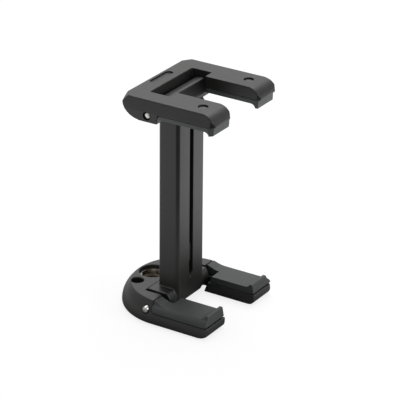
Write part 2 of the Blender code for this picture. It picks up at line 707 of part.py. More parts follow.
def upper_side_outline():
    """(y, z) outline of the upper jaw's flank: top, rounded nose, arm, and the deeper ear at the hinge."""
    nose_start = -JAW_REACH + NOSE_LENGTH
    nose_drop = UPPER_TOP - UPPER_ARM_BOTTOM
    outline = [
        (nose_start - NOSE_LENGTH * math.sin(turn), UPPER_TOP - nose_drop * (1 - math.cos(turn)))
        for turn in (math.radians(90) * step / NOSE_STEPS for step in range(NOSE_STEPS + 1))
    ]
    outline += [
        (-UPPER_EAR_FRONT - UPPER_EAR_SLOPE, UPPER_ARM_BOTTOM),
        (-UPPER_EAR_FRONT, -UPPER_EAR_BOTTOM),
        (UPPER_EAR_BACK, -UPPER_EAR_BOTTOM),
    ]
    swing = UPPER_BACK_WIDEST + UPPER_EAR_BOTTOM
    outline += [
        (
            UPPER_EAR_BACK + (UPPER_BACK - UPPER_EAR_BACK) * math.sin(turn),
            -UPPER_EAR_BOTTOM + swing * (1 - math.cos(turn)),
        )
        for turn in (math.radians(90) * step / BACK_STEPS for step in range(1, BACK_STEPS + 1))
    ]
    return outline + [(UPPER_BACK_TOP, UPPER_TOP)]


def upper_plan_outline():
    """(x, y) plan of the upper jaw: chamfered arm ends in front, square corners behind."""
    half = UPPER_HALF_WIDTH
    cut = FRONT_CHAMFER
    inner = UPPER_ARM_GAP / 2
    front = -JAW_REACH - TURN_GAP
    arm = [
        (inner, -UPPER_POCKET_FRONT + TURN_GAP),
        (inner, front + cut),
        (inner + cut, front),
        (half - cut, front),
        (half, front + cut),
    ]
    right = arm + [(half, UPPER_BACK + TURN_GAP)]
    left = [(-x, y) for x, y in reversed(right)]
    return right + left


def upper_front_outline():
    """(x, z) outline across the upper jaw, whose flanks lean in towards the top."""
    slim = UPPER_TOP_HALF_WIDTH
    lean = (UPPER_HALF_WIDTH - slim) / (UPPER_TOP - UPPER_ARM_BOTTOM)
    high = 2 * UPPER_TOP
    low = -UPPER_TOP
    top_half = slim - lean * (high - UPPER_TOP)
    low_half = slim + lean * (UPPER_TOP - low)
    return [(-low_half, low), (low_half, low), (top_half, high), (-top_half, high)]


def corner_cutter(corner, cuts):
    """A pyramid that cuts a corner off. The cuts are how far it reaches from the corner along X, Y and Z."""
    over = REAR_CUT_DROP / 2
    tip = [-math.copysign(over, cut) for cut in cuts]
    mesh = bmesh.new()
    mesh.verts.new(corner + Vector(tip))
    for axis in range(3):
        spot = list(tip)
        spot[axis] = cuts[axis] * (1 + sum(over / abs(cuts[other]) for other in range(3) if other != axis))
        mesh.verts.new(corner + Vector(spot))
    bmesh.ops.convex_hull(mesh, input=mesh.verts[:])
    bmesh.ops.recalc_face_normals(mesh, faces=mesh.faces[:])
    return mesh


def make_upper_jaw():
    """Moulded upper jaw: two arms, a cross piece behind, and a pocket for the slide's head."""
    high = 2 * UPPER_TOP
    reach = 2 * JAW_REACH
    half = UPPER_HALF_WIDTH
    jaw = new_object("upper_jaw", prism(upper_side_outline(), "X", -reach, reach), nodding, black_plastic)
    combine(
        jaw,
        "INTERSECT",
        new_object("shape_upper_plan", prism(upper_plan_outline(), "Z", -high, high), nodding),
        new_object("shape_upper_front", prism(upper_front_outline(), "Y", -reach, reach), nodding),
    )
    pocket = box_outline(-UPPER_POCKET_HALF, UPPER_POCKET_HALF, -UPPER_POCKET_FRONT, UPPER_POCKET_BACK)
    wall = half - COUNTERBORE_DEPTH
    badge = [(y, x) for x, y in slot_outline(BADGE_WIDTH, -BADGE_LENGTH / 2, BADGE_LENGTH / 2)]
    badge_middle = UPPER_BACK_TOP - BADGE_EDGE - BADGE_WIDTH / 2
    badge = [(x, y + badge_middle) for x, y in badge]
    combine(
        jaw,
        "DIFFERENCE",
        new_object("cut_head_pocket", prism(pocket, "Z", -high, high), nodding),
        new_object("cut_upper_pin_hole", rod(PIN_HOLE_RADIUS, "X", -reach, reach), nodding),
        new_object("cut_upper_pin_head_left", rod(COUNTERBORE_RADIUS, "X", -reach, -wall), nodding),
        new_object("cut_upper_pin_head_right", rod(COUNTERBORE_RADIUS, "X", wall, reach), nodding),
        new_object("cut_badge", prism(badge, "Z", UPPER_TOP - BADGE_DEPTH, high), nodding),
    )
    for side in (-1, 1):
        place = (side * DIMPLE_SIDE, -DIMPLE_REACH)
        hole = rod(PLUG_RADIUS + SEAT_GAP, "Z", -high, high, place, 16)
        dimple = rod(DIMPLE_RADIUS, "Z", UPPER_TOP - DIMPLE_DEPTH, high, place, 20)
        corner = Vector((side * UPPER_TOP_HALF_WIDTH, UPPER_BACK_TOP, UPPER_TOP))
        cuts = (-side * REAR_CUT_SIDE, -REAR_CUT_BACK, -REAR_CUT_DROP)
        combine(
            jaw,
            "DIFFERENCE",
            new_object(f"cut_rear_corner_{side}", corner_cutter(corner, cuts), nodding),
            new_object(f"cut_plug_hole_{side}", hole, nodding),
            new_object(f"cut_dimple_{side}", dimple, nodding),
        )
    return jaw


def make_upper_pad(side):
    """Rubber pad under an arm, with a lip in front and a plug that shows in the dimple on top."""
    name = "upper_pad_left" if side < 0 else "upper_pad_right"
    top = UPPER_ARM_BOTTOM - SEAT_GAP
    bed = -UPPER_PAD_DROP
    front = -JAW_REACH + UPPER_PAD_SETBACK
    back = -UPPER_EAR_FRONT - UPPER_EAR_SLOPE - SEAT_GAP
    profile = [(front, top), (back, top), (back, bed)] + lip_profile(front + UPPER_LIP_BACKSET, bed, -1)
    inner = side * (UPPER_ARM_GAP / 2 + PAD_SIDE_INSET)
    outer = side * (UPPER_HALF_WIDTH - PAD_SIDE_INSET)
    pad = new_object(name, prism(profile, "X", inner, outer), nodding, rubber)
    corner = prism(diamond((outer, front), UPPER_PAD_CORNER), "Z", -JAW_REACH, JAW_REACH)
    combine(pad, "DIFFERENCE", new_object("cut_corner_" + name, corner, nodding))
    plug_top = UPPER_TOP - DIMPLE_DEPTH
    plug = rod(PLUG_RADIUS, "Z", (top + bed) / 2, plug_top, (side * DIMPLE_SIDE, -DIMPLE_REACH), 16)
    combine(pad, "UNION", new_object("add_plug_" + name, plug, nodding))
    return pad


clear_scene()
parts = new_collection("phone_clamp")
cutters = new_collection("cutters", hidden=True)

black_plastic = new_material("black_plastic", 0.030, 0.45)
rubber = new_material("rubber", 0.048, 0.75, tint=(0.95, 1.0, 0.98))
bright_steel = new_material("bright_steel", 0.62, 0.28, metallic=1.0)

base = new_hinge("lower_hinge", LOWER_PIN_HEIGHT)
folding = new_hinge("column_fold_axis", 0, base)
sliding = new_hinge("slide_line", PIN_SPACING, folding)
nodding = new_hinge("upper_hinge", 0, sliding)

make_lower_jaw()
make_tripod_insert()
make_hinge_pin("lower_hinge_pin", LOWER_HALF_WIDTH, base)
make_sleeve()
make_spring_anchor()
make_anchor_pin()
make_slide()
make_stop_key()
make_spring_hanger()
make_upper_jaw()
make_hinge_pin("upper_hinge_pin", UPPER_HALF_WIDTH, nodding)
for side, hand in ((-1, "left"), (1, "right")):
    make_lower_pad(side)
    make_upper_pad(side)
    make_spring(side)
    make_washer("lower_washer_" + hand, side, LOWER_POCKET_HALF, FOOT_BAR_LENGTH / 2, base)
    make_washer("upper_washer_" + hand, side, UPPER_POCKET_HALF, HEAD_BAR_LENGTH / 2, nodding)
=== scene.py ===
import json
import math

import bmesh
import bpy
from mathutils import Matrix, Vector


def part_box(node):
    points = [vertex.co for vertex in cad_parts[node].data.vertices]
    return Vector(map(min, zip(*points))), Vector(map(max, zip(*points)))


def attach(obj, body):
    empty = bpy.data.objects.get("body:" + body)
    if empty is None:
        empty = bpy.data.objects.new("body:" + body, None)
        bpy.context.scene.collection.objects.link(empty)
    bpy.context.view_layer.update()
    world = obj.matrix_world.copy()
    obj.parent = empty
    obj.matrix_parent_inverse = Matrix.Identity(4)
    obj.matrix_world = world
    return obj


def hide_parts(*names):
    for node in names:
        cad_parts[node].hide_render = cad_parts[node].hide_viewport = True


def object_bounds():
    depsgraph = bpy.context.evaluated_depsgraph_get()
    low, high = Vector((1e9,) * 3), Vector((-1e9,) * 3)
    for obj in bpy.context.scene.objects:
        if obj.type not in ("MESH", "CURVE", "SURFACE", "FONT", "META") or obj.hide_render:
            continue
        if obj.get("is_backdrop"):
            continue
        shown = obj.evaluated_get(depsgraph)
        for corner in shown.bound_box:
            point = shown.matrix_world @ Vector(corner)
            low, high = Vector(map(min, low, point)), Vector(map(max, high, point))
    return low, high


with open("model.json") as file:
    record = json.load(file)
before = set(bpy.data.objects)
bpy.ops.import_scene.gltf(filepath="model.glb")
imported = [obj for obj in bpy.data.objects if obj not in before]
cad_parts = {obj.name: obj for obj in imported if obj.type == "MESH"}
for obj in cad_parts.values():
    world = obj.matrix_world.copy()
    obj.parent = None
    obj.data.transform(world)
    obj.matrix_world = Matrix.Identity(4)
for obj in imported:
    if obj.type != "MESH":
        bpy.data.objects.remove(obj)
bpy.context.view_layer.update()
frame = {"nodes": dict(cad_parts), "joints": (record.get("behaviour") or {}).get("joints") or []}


# Lower jaw
# One moulding of black ABS: two square-ended feet in front, a round arch behind, and a pocket between them
# that holds the hinge bar of the column. Its walls lean in to the top, as they must to leave the tool, and
# every edge comes out softly rounded.
MM = 0.001
joints = {joint["name"]: joint for joint in frame["joints"]}
lower_pin = Vector(joints["column_fold"]["pos_m"])
upper_pin = Vector(joints["upper_jaw_fold"]["pos_m"])
on_floor = Matrix.Translation((0, lower_pin.y, 0)) @ Matrix.Scale(MM, 4)

jaw_half = 17.7
jaw_front = -20.3
arch_centre = -1.95
plate_height = 6.5
widest_height = 1.0
rim_inset = 2.6
sole_inset = 0.9
sole_front_inset = 2.9
front_round_height = 1.7
foot_height = 3.35
foot_gap_half = 7.6
bed_height = 5.4
pad_back = -1.6
pad_back_corner = 1.5
pocket_half = 11.2
pocket_front = -5.7
pocket_front_at_sole = -3.4
pocket_back = 4.0
insert_back = 8.7
recess_radius = 4.0
recess_depth = 1.0
key_ring_place = (-7.2, 9.23)
key_ring_radius = 1.8
pin_height = lower_pin.z / MM
counterbore_radius = 1.2
counterbore_depth = 0.9
pin_bore = 1.15
insert_bore = 3.7
flange_room = 1.0
foot_corner = 1.3
gap_chamfer = 0.4
gap_overrun = 0.3
front_lean = 0.3
flank_sweep = 42
hands = {"left": -1, "right": 1}

# How far the cutters run out past the jaw: to the sides and ends, upwards and downwards.
beyond, above, below = 40, 20, -5


def linear(code):
    """An sRGB hex code as the linear colour that a shader takes."""
    shares = [int(code[place : place + 2], 16) / 255 for place in (1, 3, 5)]
    return tuple(s / 12.92 if s <= 0.04045 else ((s + 0.055) / 1.055) ** 2.4 for s in shares) + (1.0,)


def plug(material, node, *first, **named):
    """Gives a node's sockets, the first ones or those named, their values or the sockets to link from."""
    sockets = list(zip(node.inputs, first))
    sockets += [(node.inputs[name.replace("_", " ")], value) for name, value in named.items()]
    for socket, value in sockets:
        if isinstance(value, bpy.types.NodeSocket):
            material.node_tree.links.new(value, socket)
        else:
            socket.default_value = value


def add_node(material, kind, settings=None, *first, **named):
    """Adds a node; settings are its own properties, and the rest goes to its sockets."""
    node = material.node_tree.nodes.new(kind)
    for name, value in (settings or {}).items():
        setattr(node, name, value)
    plug(material, node, *first, **named)
    return node


def sweep(degrees, steps):
    """Angles in radians from 0 to this many degrees."""
    return [math.radians(degrees) * step / steps for step in range(steps + 1)]


def arc(centre, radius, start, end, steps):
    """Points of an arc between two angles in degrees."""
    turns = [math.radians(start + (end - start) * step / steps) for step in range(steps + 1)]
    return [(centre[0] + radius * math.cos(turn), centre[1] + radius * math.sin(turn)) for turn in turns]


def box(low_a, high_a, low_b, high_b):
    """A rectangle as an outline."""
    return [(low_a, low_b), (high_a, low_b), (high_a, high_b), (low_a, high_b)]


def prism(outline, axis, start, end):
    """An outline in the other two axes, extruded along this one."""
    spots = {"X": lambda a, b: (start, a, b), "Y": lambda a, b: (a, start, b), "Z": lambda a, b: (a, b, start)}
    mesh = bmesh.new()
    face = mesh.faces.new([mesh.verts.new(spots[axis](a, b)) for a, b in outline])
    made = bmesh.ops.extrude_face_region(mesh, geom=[face])["geom"]
    pushed = [item for item in made if isinstance(item, bmesh.types.BMVert)]
    reach = {"X": (1, 0, 0), "Y": (0, 1, 0), "Z": (0, 0, 1)}[axis]
    bmesh.ops.translate(mesh, verts=pushed, vec=Vector(reach) * (end - start))
    bmesh.ops.recalc_face_normals(mesh, faces=mesh.faces[:])
    return mesh


def turned(profile, axis, centre=(0.0, 0.0), steps=64):
    """A closed profile of (radius, place along the axis) points, turned as on a lathe."""
    mesh = bmesh.new()
    ring = [mesh.verts.new((radius, 0, along)) for radius, along in profile]
    sides = [(ring[index - 1], ring[index]) for index in range(len(ring))]
    edges = [mesh.edges.new(side) for side in sides if side[0].co.x or side[1].co.x]
    bmesh.ops.spin(
        mesh, geom=ring + edges, cent=(0, 0, 0), axis=(0, 0, 1), angle=2 * math.pi, steps=steps, use_merge=True
    )
    bmesh.ops.remove_doubles(mesh, verts=mesh.verts[:], dist=0.001)
    if axis != "Z":
        tip, about = (math.pi / 2, "Y") if axis == "X" else (-math.pi / 2, "X")
        bmesh.ops.rotate(mesh, verts=mesh.verts[:], cent=(0, 0, 0), matrix=Matrix.Rotation(tip, 3, about))
    shift = {"X": (0, *centre), "Y": (centre[0], 0, centre[1]), "Z": (*centre, 0)}[axis]
    bmesh.ops.translate(mesh, verts=mesh.verts[:], vec=shift)
    bmesh.ops.recalc_face_normals(mesh, faces=mesh.faces[:])
    return mesh


def drill(radius, axis, start, end, centre=(0.0, 0.0), flare=0.0):
    """A round cutter. With a flare, its far end opens out, which chamfers the rim of the hole."""
    profile = [(0, start), (radius, start), (radius, end - flare), (radius + 2 * flare, end + flare)]
    return turned(profile + [(0, end + flare)], axis, centre, 48)


def add_object(name, data):
    thing = bpy.data.objects.new(name, data)
    bpy.context.scene.collection.objects.link(thing)
    return thing


def new_piece(name, mesh):
    data = bpy.data.meshes.new(name)
    mesh.to_mesh(data)
    mesh.free()
    return add_object(name, data)


def shaped_mesh(piece):
    """A mesh of the piece as its modifiers or its bevel leave it."""
    bpy.context.view_layer.update()
    return bpy.data.meshes.new_from_object(piece.evaluated_get(bpy.context.evaluated_depsgraph_get()))


def settle(piece):
    """Makes the piece's modifiers part of its mesh."""
    shaped = shaped_mesh(piece)
    piece.modifiers.clear()
    piece.data = shaped


def carve(piece, operation, *tools):
    """Cuts the tools from the piece, joins them to it, or keeps only what they share."""
    for tool in tools:
        shape = new_piece(piece.name + "_tool", tool)
        step = piece.modifiers.new("carve", "BOOLEAN")
        step.operation = operation
        step.object = shape
        step.solver = "EXACT"
        settle(piece)
        bpy.data.objects.remove(shape)
        seams = bmesh.new()
        seams.from_mesh(piece.data)
        bmesh.ops.remove_doubles(seams, verts=seams.verts[:], dist=0.0005)
        seams.to_mesh(piece.data)
        seams.free()


def mould(piece, grid, rounds):
    """Gives a carved block the even, softly rounded edges of a moulding, then drops what its flats don't need."""
    fine = piece.modifiers.new("grid", "REMESH")
    fine.mode = "VOXEL"
    fine.voxel_size = grid
    soft = piece.modifiers.new("soft", "SMOOTH")
    soft.factor = 0.5
    soft.iterations = rounds
    flat = piece.modifiers.new("flat", "DECIMATE")
    flat.decimate_type = "DISSOLVE"
    flat.angle_limit = math.radians(0.8)
    settle(piece)


def coat(piece, material):
    piece.data.materials.clear()
    piece.data.materials.append(material)


def place(piece, body, where, material, slot, *nodes):
    """Puts a finished piece where it belongs, smooth and closed, on its body and in its CAD node's stead."""
    piece.data.transform(where)
    piece.data.shade_smooth()
    piece.data.set_sharp_from_angle(angle=math.radians(40))
    coat(piece, material)
    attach(piece, body)
    if nodes:
        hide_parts(*nodes)


def new_material(name):
    """A material with nodes, and its shader."""
    material = bpy.data.materials.new(name)
    material.use_nodes = True
    return material, material.node_tree.nodes["Principled BSDF"]


def mapped(material, value, source, result, curve="LINEAR"):
    """A value carried over from one range to another."""
    return add_node(
        material,
        "ShaderNodeMapRange",
        {"interpolation_type": curve},
        Value=value,
        From_Min=source[0],
        From_Max=source[1],
        To_Min=result[0],
        To_Max=result[1],
    ).outputs["Result"]


def moulded_plastic(name, face_code, shade_code, grain_mm, grain_depth_mm, rough_low, rough_high):
    """Spark-finished plastic: a fine grain from the tool, and a sheen that drifts a little over the part."""
    material, shader = new_material(name)
    spot = add_node(material, "ShaderNodeTexCoord").outputs["Object"]
    drift = add_node(material, "ShaderNodeTexNoise", Vector=spot, Scale=1 / (9 * MM), Detail=3.0).outputs["Fac"]
    tint = add_node(material, "ShaderNodeValToRGB", Fac=drift)
    for stop, position, code in zip(tint.color_ramp.elements, (0.35, 0.65), (shade_code, face_code)):
        stop.position = position
        stop.color = linear(code)
    grain = add_node(material, "ShaderNodeTexNoise", Vector=spot, Scale=1 / (grain_mm * MM), Detail=2.0)
    height = grain.outputs["Fac"]
    bump = add_node(material, "ShaderNodeBump", Height=height, Strength=0.35, Distance=grain_depth_mm * MM)
    plug(
        material,
        shader,
        Base_Color=tint.outputs["Color"],
        Roughness=mapped(material, drift, (0, 1), (rough_low, rough_high)),
        Normal=bump.outputs["Normal"],
        IOR=1.57,
    )
    return material


# ABS from a spark-eroded tool reads as satin black: dark in itself, with a broad soft shine under the lamp.
# The real grain is about 0.05 mm; it is drawn at 0.22 mm so that it shows.
satin_abs = moulded_plastic("satin_moulded_abs", "#2a2a29", "#242423", 0.22, 0.02, 0.36, 0.46)


def jaw_plan(inset, front_inset):
    """Plan of the jaw, shrunk all round: feet in front, and the half circle of the arch behind."""
    half = jaw_half - inset
    front = jaw_front + front_inset
    right = arc((half - foot_corner, front + foot_corner), foot_corner, 270, 360, 6)
    back = arc((0, arch_centre), half, 0, 180, 96)
    left = arc((foot_corner - half, front + foot_corner), foot_corner, 180, 270, 6)
    return right + back + left


def jaw_block():
    """The jaw's outer form, one plan carried up from the rounded sole to the rim."""
    def front_inset_at(height):
        under = max(0.0, 1 - height / front_round_height)
        lean = front_lean * (1 - height / plate_height)
        return lean + (sole_front_inset - front_lean) * (1 - math.sqrt(1 - under * under))

    rises = []
    for turn in sweep(90, 8):
        height = widest_height * (1 - math.cos(turn))
        rises.append((height, sole_inset * (1 - math.sin(turn)), front_inset_at(height)))
    flank_turns = sweep(flank_sweep, 16)
    for turn in flank_turns[1:]:
        rise = math.sin(turn) / math.sin(flank_turns[-1])
        lean = (1 - math.cos(turn)) / (1 - math.cos(flank_turns[-1]))
        height = widest_height + (plate_height - widest_height) * rise
        rises.append((height, rim_inset * lean, front_inset_at(height)))
    mesh = bmesh.new()
    height, inset, front_inset = rises[0]
    top = mesh.faces.new([mesh.verts.new((x, y, height)) for x, y in jaw_plan(inset, front_inset)])
    for height, inset, front_inset in rises[1:]:
        made = bmesh.ops.extrude_face_region(mesh, geom=[top])["geom"]
        if height > rises[1][0]:
            bmesh.ops.delete(mesh, geom=[top], context="FACES_ONLY")
        top = next(item for item in made if isinstance(item, bmesh.types.BMFace))
        for vert, (x, y) in zip(top.verts, jaw_plan(inset, front_inset)):
            vert.co = (x, y, height)
    bmesh.ops.recalc_face_normals(mesh, faces=mesh.faces[:])
    return mesh


lower_jaw = new_piece("lower_jaw_moulding", jaw_block())
foot_gap = [(foot_gap_half, above), (foot_gap_half, gap_chamfer)]
foot_gap += [(foot_gap_half + 2 * gap_chamfer, -gap_chamfer)]
foot_gap += [(-x, z) for x, z in reversed(foot_gap)]
seat_centre = (pad_back - pad_back_corner, foot_height + pad_back_corner)
pad_seat = [(-beyond, above), (-beyond, foot_height)] + arc(seat_centre, pad_back_corner, 270, 360, 10)
pad_seat += [(pad_back, above)]
pocket_lean = (pocket_front - pocket_front_at_sole) / bed_height
pocket_side = [(pocket_front_at_sole + pocket_lean * height, height) for height in (below, above)]
pocket_side += [(pocket_back, above), (pocket_back, below)]
carve(
    lower_jaw,
    "DIFFERENCE",
    prism(pocket_side, "X", -pocket_half, pocket_half),
    prism(foot_gap, "Y", -beyond, pocket_front_at_sole + gap_overrun),
    prism(pad_seat, "X", -beyond, beyond),
)
mould(lower_jaw, grid=0.17, rounds=5)
carve(
    lower_jaw,
    "DIFFERENCE",
    drill(pin_bore, "X", -beyond, beyond, (0, pin_height)),
    drill(counterbore_radius, "X", jaw_half - counterbore_depth, beyond, (0, pin_height)),
    drill(counterbore_radius, "X", -beyond, counterbore_depth - jaw_half, (0, pin_height)),
    drill(insert_bore, "Z", below, above, (0, insert_back)),
    drill(recess_radius, "Z", plate_height - recess_depth - flange_room, plate_height, (0, insert_back), flare=0.15),
    drill(key_ring_radius, "Z", below, plate_height, key_ring_place, flare=0.2),
)
place(lower_jaw, "base", on_floor, satin_abs, "black_plastic", "lower_jaw")


# Tripod insert
# A turned brass insert, nickel plated, pressed into the arch from above. It is tapped 1/4-20 all the way
# through, so that a tripod's screw goes in from below.
insert_top = plate_height - recess_depth
insert_bottom = 0.2
insert_body = 3.5
insert_flange = 3.8
flange_depth = 0.8
flange_edge = 0.12
insert_lead_in = 0.25
thread_pitch = 1.27
thread_minor = 2.6
thread_major = 3.17
thread_root_half = 0.45 * thread_pitch
thread_crest_half = 0.06
thread_start = 0.75
thread_overlap = 0.05


def lined_metal(name, code, rough_low, rough_high, line_mm, axis):
    """Metal from a lathe or a die: fine lines round its axis, and a light haze in its sheen."""
    material, shader = new_material(name)
    spot = add_node(material, "ShaderNodeTexCoord").outputs["Object"]
    banded = {"wave_type": "BANDS", "bands_direction": axis}
    lines = add_node(material, "ShaderNodeTexWave", banded, Vector=spot, Scale=0.05 / (line_mm * MM), Distortion=0.0)
    haze = add_node(material, "ShaderNodeTexNoise", Vector=spot, Scale=1 / (1.5 * MM), Detail=3.0).outputs["Fac"]
    bump = add_node(material, "ShaderNodeBump", Height=lines.outputs["Fac"], Strength=0.1, Distance=0.01 * MM)
    plug(
        material,
        shader,
        Base_Color=linear(code),
        Metallic=1.0,
        Roughness=mapped(material, haze, (0, 1), (rough_low, rough_high)),
        Normal=bump.outputs["Normal"],
    )
    return material


# Nickel on brass is bright with a slight warmth. The turning lines are drawn 0.12 mm apart.
nickel_plate = lined_metal("nickel_plated_brass", "#bdb8b0", 0.20, 0.32, 0.12, "Z")

# Inside, the plating is thin and dull with cutting oil, so the tapped thread looks brown and dark.
tapped_brass = lined_metal("tapped_oily_brass", "#6f6257", 0.34, 0.46, 0.12, "Z")

insert_profile = [
    (thread_major, insert_bottom),
    (insert_body, insert_bottom),
    (insert_body, insert_top - flange_depth),
    (insert_flange, insert_top - flange_depth),
    (insert_flange, insert_top - flange_edge),
    (insert_flange - flange_edge, insert_top),
    (thread_major + thread_overlap, insert_top),
    (thread_major - thread_overlap, insert_top - insert_lead_in),
    (thread_major - thread_overlap, insert_bottom + insert_lead_in),
]
insert = new_piece("tripod_insert_body", turned(insert_profile, "Z", (0, insert_back), 96))
place(insert, "base", on_floor, nickel_plate, "insert_metal", "tripod_insert")


def thread_ridge(turns, steps):
    """The thread inside the insert: a triangle, spun round its axis as it climbs."""
    mesh = bmesh.new()
    foot = [(thread_major, -thread_root_half), (thread_minor, -thread_crest_half)]
    foot += [(thread_minor, thread_crest_half), (thread_major, thread_root_half)]
    start = insert_bottom + thread_start
    ring = [mesh.verts.new((radius, 0, start + rise)) for radius, rise in foot]
    cap = mesh.faces.new(ring)
    bmesh.ops.spin(
        mesh,
        geom=[cap],
        cent=(0, 0, 0),
        axis=(0, 0, 1),
        dvec=(0, 0, thread_pitch / steps),
        angle=2 * math.pi * turns,
        steps=round(steps * turns),
    )
    bmesh.ops.translate(mesh, verts=mesh.verts[:], vec=(0, insert_back, 0))
    bmesh.ops.recalc_face_normals(mesh, faces=mesh.faces[:])
    return mesh


thread = new_piece("tripod_insert_thread", thread_ridge(3, 48))
place(thread, "base", on_floor, tapped_brass, "insert_metal")


# Lower pads
# Soft black TPE pads, one on each foot, moulded with a ramp behind, a flat bed and a lip in front. They fill
# the step in the jaw, so the pad and the jaw make one flank with a fine line between them.
pad_gap = 0.08
pad_groove = 0.25
pad_clearance = 0.6
lip_height = 1.0
lip_top = 0.95
lip_hollow = 1.35
pad_setback = 0.4
groove_length = 0.5
pad_chamfer = 0.3
pad_side_gap = 0.2
ramp_top = -4.4
ramp_foot = -5.6
ramp_rise = 0.2
lip_setback = 0.5


def lip(tip, bed, up):
    """From the bed round the hollow behind the lip to the front edge of its top."""
    start = tip + lip_top + lip_hollow
    hollow = [
        (start - lip_hollow * math.sin(turn), bed + up * lip_height * (1 - math.cos(turn)))
        for turn in sweep(90, 12)
    ]
    return hollow + [(tip, bed + up * lip_height)]


# TPE is duller and a shade lighter than the ABS, with a faint green cast and a finer grain.
soft_rubber = moulded_plastic("matt_moulded_rubber", "#3d4040", "#363939", 0.30, 0.015, 0.50, 0.60)

low = foot_height + pad_gap
front = jaw_front + pad_setback
back = pad_back - pad_gap
profile = [(front, low + pad_groove), (front + groove_length, low + pad_groove), (front + 2 * groove_length, low)]
profile += arc((back - pad_back_corner, low + pad_back_corner), pad_back_corner, 270, 360, 10)
profile += [(back, plate_height - pad_chamfer), (back - pad_chamfer, plate_height)]
profile += [(ramp_top, bed_height + ramp_rise), (ramp_foot, bed_height)]
profile += lip(front + lip_setback, bed_height, 1)

# The pad's flank goes on from the jaw's: how far in from the widest side it is, at each height.
pad_flank = [(0.45, low), (0.5, 3.9), (0.8, 4.45), (1.3, 4.95), (1.9, 5.35), (2.2, 5.8), (2.7, plate_height + 1)]
section = [(foot_gap_half + pad_side_gap, low)] + [(jaw_half - inset, height) for inset, height in pad_flank]
section += [(foot_gap_half + pad_side_gap, plate_height + 1)]
beside_bar = [(y - pad_clearance / 2, z) for y, z in pocket_side[:2]] + pocket_side[2:]

for hand, side in hands.items():
    pad = new_piece("lower_pad_moulding_" + hand, prism(profile, "X", 0, side * jaw_half))
    carve(pad, "INTERSECT", prism([(side * x, z) for x, z in section], "Y", -beyond, beyond))
    carve(pad, "DIFFERENCE", prism(beside_bar, "X", 0, side * (pocket_half + pad_clearance)))
    mould(pad, grid=0.12, rounds=5)
    place(pad, "base", on_floor, soft_rubber, "rubber_pad", "lower_pad_" + hand)


# Lower hinge pin and washers
# A ground steel pin, pressed through both walls of the jaw, on which the column's bar turns between two thin
# washers. Only its domed ends show, in their counterbores.
pin_radius = 1.0
pin_setback = 0.3

# Zinc-plated steel: bright and cool, with fine lines round the pin.
bright_steel = lined_metal("bright_plated_steel", "#dcdcda", 0.26, 0.36, 0.10, "X")


def hinge_pin(name, half, height):
    """A pin along X with a chamfer and a shallow dome at each end."""
    dome = [(pin_radius, half - 0.9), (0.88, half - 0.3), (0.82, half - 0.12), (0.65, half - 0.03), (0, half)]
    profile = dome + [(radius, -along) for radius, along in reversed(dome)]
    return new_piece(name, turned(profile, "X", (0, height), 48))


lower_hinge_pin = hinge_pin("lower_hinge_pin_turned", jaw_half - pin_setback, pin_height)
place(lower_hinge_pin, "base", on_floor, bright_steel, "bright_steel", "lower_hinge_pin")

# The washers are spring steel, blackened in oil, so nothing shines in the gap beside the bar.
black_steel = lined_metal("oil_blackened_spring_steel", "#2b2b2c", 0.40, 0.52, 0.10, "X")
for hand in hands:
    coat(frame["nodes"]["lower_washer_" + hand], black_steel)


# Column sleeve
# The outer tube of the column, moulded in one with the bar that the lower pin goes through. Its front is
# slotted nearly to the top for the key that stops the slide.
at_lower_pin = Matrix.Translation(lower_pin) @ Matrix.Scale(MM, 4)
column_half = 6.7
column_front = -3.95
column_back = 2.7
column_edge = 0.7
sleeve_wall = 1.1
sleeve_floor = 3.4
sleeve_top = 54.1
slot_half = 0.95
slot_low = 5.2
slot_high = 49.8
bar_half = 10.1
bar_radius = 3.6
bar_top = 2.6
bar_back = 3.88
bar_back_low = 0.8
slot_end = -0.7
foot_sweep_end = 313.1
anchor_pin_bore = 0.5
anchor_pin_height = 4.3
anchor_pin_end = 2.15

# How far the cutters run out past the column: to the sides, the front, the foot and the top.
past_side, past_front, past_foot, past_top = 20, -10, -20, 80

foot = [(column_front, sleeve_top)] + arc((0, 0), -column_front, 180, foot_sweep_end, 36)
foot += [(column_back, sleeve_top)]
sleeve = new_piece("column_sleeve", prism(foot, "X", -column_half, column_half))
for side in (-1, 1):
    for face in (column_front, column_back):
        inward = 1 if face < 0 else -1
        corner = [(side * (column_half - column_edge - 1), face - inward)]
        corner += [(side * (column_half + 1), face + inward * (column_edge + 1))]
        corner += [(side * (column_half + 1), face - inward)]
        carve(sleeve, "DIFFERENCE", prism(corner, "Z", past_foot, past_top))
bar_start = math.degrees(math.asin(bar_top / bar_radius))
bar = [(bar_back, bar_top), (bar_back, bar_back_low)] + arc((0, 0), bar_radius, 0, -180 - bar_start, 48)
carve(sleeve, "UNION", prism(bar, "X", -bar_half, bar_half))
hollow = box(
    sleeve_wall - column_half, column_half - sleeve_wall, column_front + sleeve_wall, column_back - sleeve_wall
)
slot = arc((0, slot_low + slot_half), slot_half, 180, 360, 16)
slot += arc((0, slot_high - slot_half), slot_half, 0, 180, 16)
mould(sleeve, grid=0.2, rounds=1)
carve(
    sleeve,
    "DIFFERENCE",
    prism(hollow, "Z", sleeve_floor, past_top),
    prism(slot, "Y", past_front, slot_end),
    drill(pin_bore, "X", -past_side, past_side),
    drill(anchor_pin_bore, "Y", past_front, anchor_pin_end, (0, anchor_pin_height)),
)
place(sleeve, "column", at_lower_pin, satin_abs, "black_plastic", "sleeve")


# Springs and what anchors them
# Two long extension springs of hard-drawn wire pull the slide down. Their lower hooks go through a pressed
# steel plate in the sleeve's foot, which a small pin from the front holds down.
wire_radius = 0.2
coil_radius = 0.9
hook_radius = 0.8
coil_pitch = 0.45
hook_length = 6.0
coil_steps = 16

# Spring wire is drawn through a die and left oiled, so it is greyer than the plated parts.
spring_wire = lined_metal("drawn_spring_wire", "#a9a9a6", 0.25, 0.38, 0.08, "Z")

